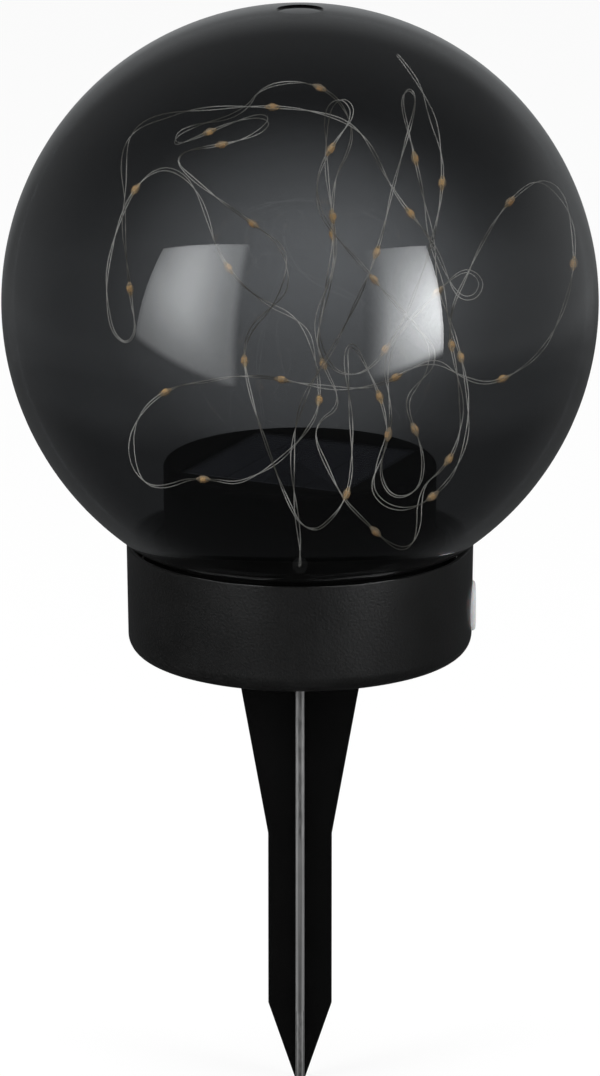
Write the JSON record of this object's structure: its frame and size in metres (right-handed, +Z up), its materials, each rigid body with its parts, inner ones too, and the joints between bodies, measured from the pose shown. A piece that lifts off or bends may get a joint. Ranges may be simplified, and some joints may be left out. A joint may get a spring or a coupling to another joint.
{
  "type": "solar garden lamp",
  "caption": "Solar garden lamp: a smoked clear ball over a solar housing and a tangle of small wire lights, on a round base with a push button, pushed onto a ground spike.",
  "frame": {"origin": "on the lamp's axis at the ground line, where the spike's collar and the base's foot ring end", "axes": "+Z up along the lamp's axis, -Y towards the viewer of the picture, +X towards the power button"},
  "size_m": [0.15, 0.15, 0.2798],
  "materials": {
    "smoked_clear": "gloss",
    "black_satin": "fine matte texture",
    "black_gloss": "gloss",
    "grey_rubber": "translucent matte",
    "black_rubber": "matte",
    "panel_dark": "gloss",
    "clear_resin": "gloss",
    "board_green": "satin",
    "white_plastic": "satin",
    "bright_steel": "bright zinc",
    "cell_wrap": "satin wrap",
    "can_metal": "satin",
    "lead_cover": "satin",
    "string_metal": "bright enamelled wire",
    "amber_drop": "clear cast resin"
  },
  "bodies": {
    "spike": {"spike": "black_gloss"},
    "base": {"base_shell": "black_satin", "globe_seal": "black_rubber", "panel_housing": "black_satin", "housing_screws": "bright_steel", "panel_board": "panel_dark", "solar_cells": "panel_dark", "panel_resin": "clear_resin", "panel_leads": "lead_cover", "circuit_board": "board_green", "board_screws": "bright_steel", "driver_chip": "black_satin", "inductor": "black_rubber", "capacitor": "can_metal", "battery_tub": "black_satin", "battery_cell": "cell_wrap", "positive_contact": "bright_steel", "negative_contact": "bright_steel", "battery_leads": "lead_cover", "battery_door": "black_satin", "door_seal": "black_rubber", "door_screw": "bright_steel", "switch_body": "black_gloss", "switch_leads": "lead_cover", "wire_grommet": "black_rubber", "led_lead": "string_metal", "led_wire": "string_metal", "led_beads": "amber_drop"},
    "globe": {"globe": "smoked_clear"},
    "button": {"power_button": "grey_rubber", "switch_plunger": "white_plastic"}
  },
  "joints": [
    {"name": "spike_pull", "type": "slide", "parent": "spike", "child": "base", "axis": [0, 0, 1], "range_m": [0, 0.02]},
    {"name": "globe_twist", "type": "hinge", "parent": "base", "child": "globe", "pos_m": [0, 0, 0.022], "axis": [0, 0, 1], "range_deg": [0, 30]},
    {"name": "button_press", "type": "slide", "parent": "base", "child": "button", "axis": [-1, 0, 0], "range_m": [0, 0.001], "stiffness_N_per_m": 2000}
  ]
}
